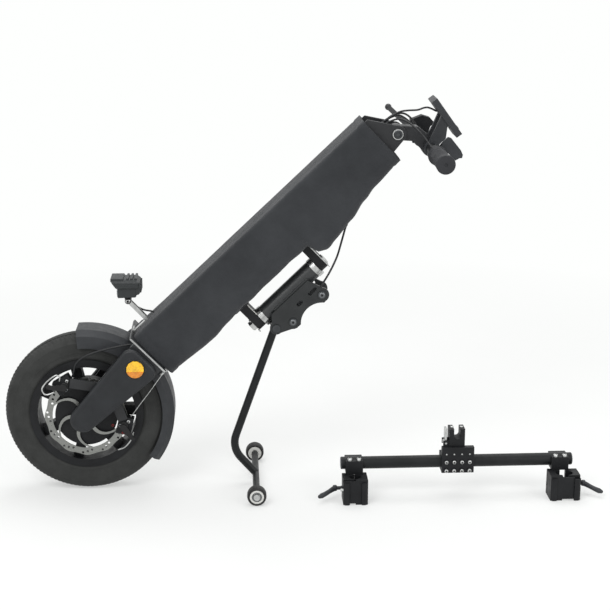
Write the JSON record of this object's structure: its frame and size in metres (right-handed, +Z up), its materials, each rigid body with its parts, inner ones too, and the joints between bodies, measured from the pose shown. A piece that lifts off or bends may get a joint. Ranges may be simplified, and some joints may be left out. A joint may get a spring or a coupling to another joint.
{
  "type": "wheelchair power assist",
  "caption": "Clip-on electric front wheel for a wheelchair: hub-motor wheel, raked column in a fabric sleeve, handlebar, docking head and roller stand, with the chair-side docking bar.",
  "frame": {"origin": "floor level, under the middle of the kit's box", "axes": "+X from the wheel towards the rider, +Y across the handlebar, +Z up"},
  "size_m": [1.3155, 0.47, 0.867],
  "materials": {
    "tyre_rubber": "moulded rubber",
    "black_cast": "satin black powder coat",
    "black_alloy": "satin black coat on cast alloy",
    "black_plate": "satin black plate",
    "magnet": "plated",
    "copper_stack": "wound copper on steel",
    "steel": "bright steel",
    "grey_alloy": "satin",
    "cover_plastic": "moulded",
    "lever_black": "satin",
    "amber": "prismatic amber",
    "battery_wrap": "shrink wrap",
    "controller_case": "cast case",
    "sleeve_fabric": "woven nylon",
    "grip_rubber": "ribbed rubber",
    "roller_rubber": "solid rubber on a pale hub",
    "screen": "dark screen",
    "clear_lens": "clear lens",
    "cable_black": "cable jacket"
  },
  "bodies": {
    "column": {"axle": "steel", "motor_stator": "copper_stack", "fork": "black_cast", "fork_covers": "cover_plastic", "side_reflectors": "amber", "brake_calipers": "black_alloy", "caliper_adapters": "grey_alloy", "fender": "cover_plastic", "column_bolts": "steel", "column_frame": "black_cast", "battery_pack": "battery_wrap", "controller": "controller_case", "fabric_sleeve": "sleeve_fabric", "head_arms": "black_cast", "headlight_bracket": "steel", "brake_cables": "cable_black"},
    "wheel": {"tyre": "tyre_rubber", "wheel_rim": "black_alloy", "motor_cover": "black_alloy", "magnet_ring": "magnet", "wheel_bearings": "steel", "brake_rotor": "steel"},
    "front_caliper_arm": {"front_caliper_arm": "steel"},
    "rear_caliper_arm": {"rear_caliper_arm": "steel"},
    "dock_bracket": {"head_tube": "black_cast", "headset": "steel", "dock_plates": "black_plate", "bracket_pins": "steel", "release_cable": "cable_black"},
    "latch": {"latch": "steel"},
    "stand": {"stand_leg": "black_cast", "roller_bolts": "steel"},
    "near_roller": {"near_roller": "roller_rubber"},
    "far_roller": {"far_roller": "roller_rubber"},
    "handlebar": {"stem_arm": "black_alloy", "handlebar_tube": "black_cast", "grips": "grip_rubber", "bar_clamps": "black_alloy", "display_case": "cover_plastic", "display_screen": "screen", "control_cables": "cable_black"},
    "throttle": {"throttle_paddle": "cover_plastic"},
    "brake_lever": {"brake_lever": "lever_black"},
    "power_button": {"power_button": "cover_plastic"},
    "plus_button": {"plus_button": "cover_plastic"},
    "minus_button": {"minus_button": "cover_plastic"},
    "headlight": {"headlight_case": "cover_plastic", "headlight_lens": "clear_lens"},
    "dock_bar": {"dock_tube": "black_alloy", "centre_block": "black_alloy", "dock_bolts": "steel", "hook_clamp": "black_alloy", "chair_clamps": "black_alloy", "bar_saddles": "black_alloy"},
    "cam_lever": {"cam_lever": "steel"},
    "left_jaw": {"left_jaw": "black_alloy"},
    "right_jaw": {"right_jaw": "black_alloy"},
    "left_handle": {"left_handle": "cover_plastic"},
    "right_handle": {"right_handle": "cover_plastic"}
  },
  "joints": [
    {"name": "wheel_spin", "type": "hinge", "parent": "column", "child": "wheel", "pos_m": [-0.47675, 0, 0.181], "axis": [0, 1, 0], "continuous": true},
    {"name": "steer", "type": "hinge", "parent": "column", "child": "dock_bracket", "pos_m": [-0.03351, 0, 0.44118], "axis": [0.7218, 0, 0.6921], "range_deg": [-45, 45]},
    {"name": "stand_fold", "type": "hinge", "parent": "dock_bracket", "child": "stand", "pos_m": [-0.05905, 0, 0.36958], "axis": [0, 1, 0], "range_deg": [-14, 24]},
    {"name": "near_roller_spin", "type": "hinge", "parent": "stand", "child": "near_roller", "pos_m": [-0.10675, -0.13, 0.021], "axis": [0, 1, 0], "continuous": true},
    {"name": "far_roller_spin", "type": "hinge", "parent": "stand", "child": "far_roller", "pos_m": [-0.10675, 0.13, 0.021], "axis": [0, 1, 0], "continuous": true},
    {"name": "latch_release", "type": "hinge", "parent": "dock_bracket", "child": "latch", "pos_m": [-0.01824, 0, 0.4101], "axis": [0, 1, 0], "range_deg": [0, 25], "stiffness_Nm_per_rad": 1.2},
    {"name": "stem_tilt", "type": "hinge", "parent": "column", "child": "handlebar", "pos_m": [0.19877, 0, 0.79278], "axis": [0, 1, 0], "range_deg": [-30, 30]},
    {"name": "throttle_press", "type": "hinge", "parent": "handlebar", "child": "throttle", "pos_m": [0.27177, -0.112, 0.76078], "axis": [0, 1, 0], "range_deg": [0, 30], "stiffness_Nm_per_rad": 0.3},
    {"name": "brake_pull", "type": "hinge", "parent": "handlebar", "child": "brake_lever", "pos_m": [0.24988, 0.106, 0.7798], "axis": [-0.6561, 0, -0.7547], "range_deg": [0, 22], "stiffness_Nm_per_rad": 1.5},
    {"name": "front_caliper_pull", "type": "hinge", "parent": "column", "child": "front_caliper_arm", "pos_m": [-0.52001, -0.068, 0.253], "axis": [0, 1, 0], "range_deg": [0, 20]},
    {"name": "rear_caliper_pull", "type": "hinge", "parent": "column", "child": "rear_caliper_arm", "pos_m": [-0.39525, -0.068, 0.16068], "axis": [0, -1, 0], "range_deg": [0, 20]},
    {"name": "power_press", "type": "slide", "parent": "handlebar", "child": "power_button", "axis": [-0.809, 0, -0.5878], "range_m": [0, 0.0012], "stiffness_N_per_m": 400},
    {"name": "plus_press", "type": "slide", "parent": "handlebar", "child": "plus_button", "axis": [-0.809, 0, -0.5878], "range_m": [0, 0.0012], "stiffness_N_per_m": 400},
    {"name": "minus_press", "type": "slide", "parent": "handlebar", "child": "minus_button", "axis": [-0.809, 0, -0.5878], "range_m": [0, 0.0012], "stiffness_N_per_m": 400},
    {"name": "headlight_tilt", "type": "hinge", "parent": "column", "child": "headlight", "pos_m": [-0.3803, 0, 0.43006], "axis": [0, 1, 0], "range_deg": [-20, 25]},
    {"name": "dock_bar_lift", "type": "slide", "parent": "column", "child": "dock_bar", "axis": [0, 0, 1], "range_m": [0, 0.3]},
    {"name": "cam_flip", "type": "hinge", "parent": "dock_bar", "child": "cam_lever", "pos_m": [0.30925, -0.088, 0.1214], "axis": [0, -1, 0], "range_deg": [0, 90]},
    {"name": "left_jaw_slide", "type": "slide", "parent": "dock_bar", "child": "left_jaw", "axis": [-1, 0, 0], "range_m": [0, 0.012]},
    {"name": "right_jaw_slide", "type": "slide", "parent": "dock_bar", "child": "right_jaw", "axis": [-1, 0, 0], "range_m": [0, 0.012]},
    {"name": "left_handle_turn", "type": "hinge", "parent": "left_jaw", "child": "left_handle", "pos_m": [0.08075, -0.105, 0.024], "axis": [-1, 0, 0], "range_deg": [0, 1440]},
    {"name": "right_handle_turn", "type": "hinge", "parent": "right_jaw", "child": "right_handle", "pos_m": [0.60175, -0.105, 0.024], "axis": [1, 0, 0], "range_deg": [0, 1440]}
  ],
  "couplings": [
    {"joint": "front_caliper_pull", "follows": "brake_pull", "ratio": 0.90909},
    {"joint": "rear_caliper_pull", "follows": "brake_pull", "ratio": 0.90909},
    {"joint": "left_handle_turn", "follows": "left_jaw_slide", "rad_per_m": 2094.4},
    {"joint": "right_handle_turn", "follows": "right_jaw_slide", "rad_per_m": 2094.4}
  ]
}
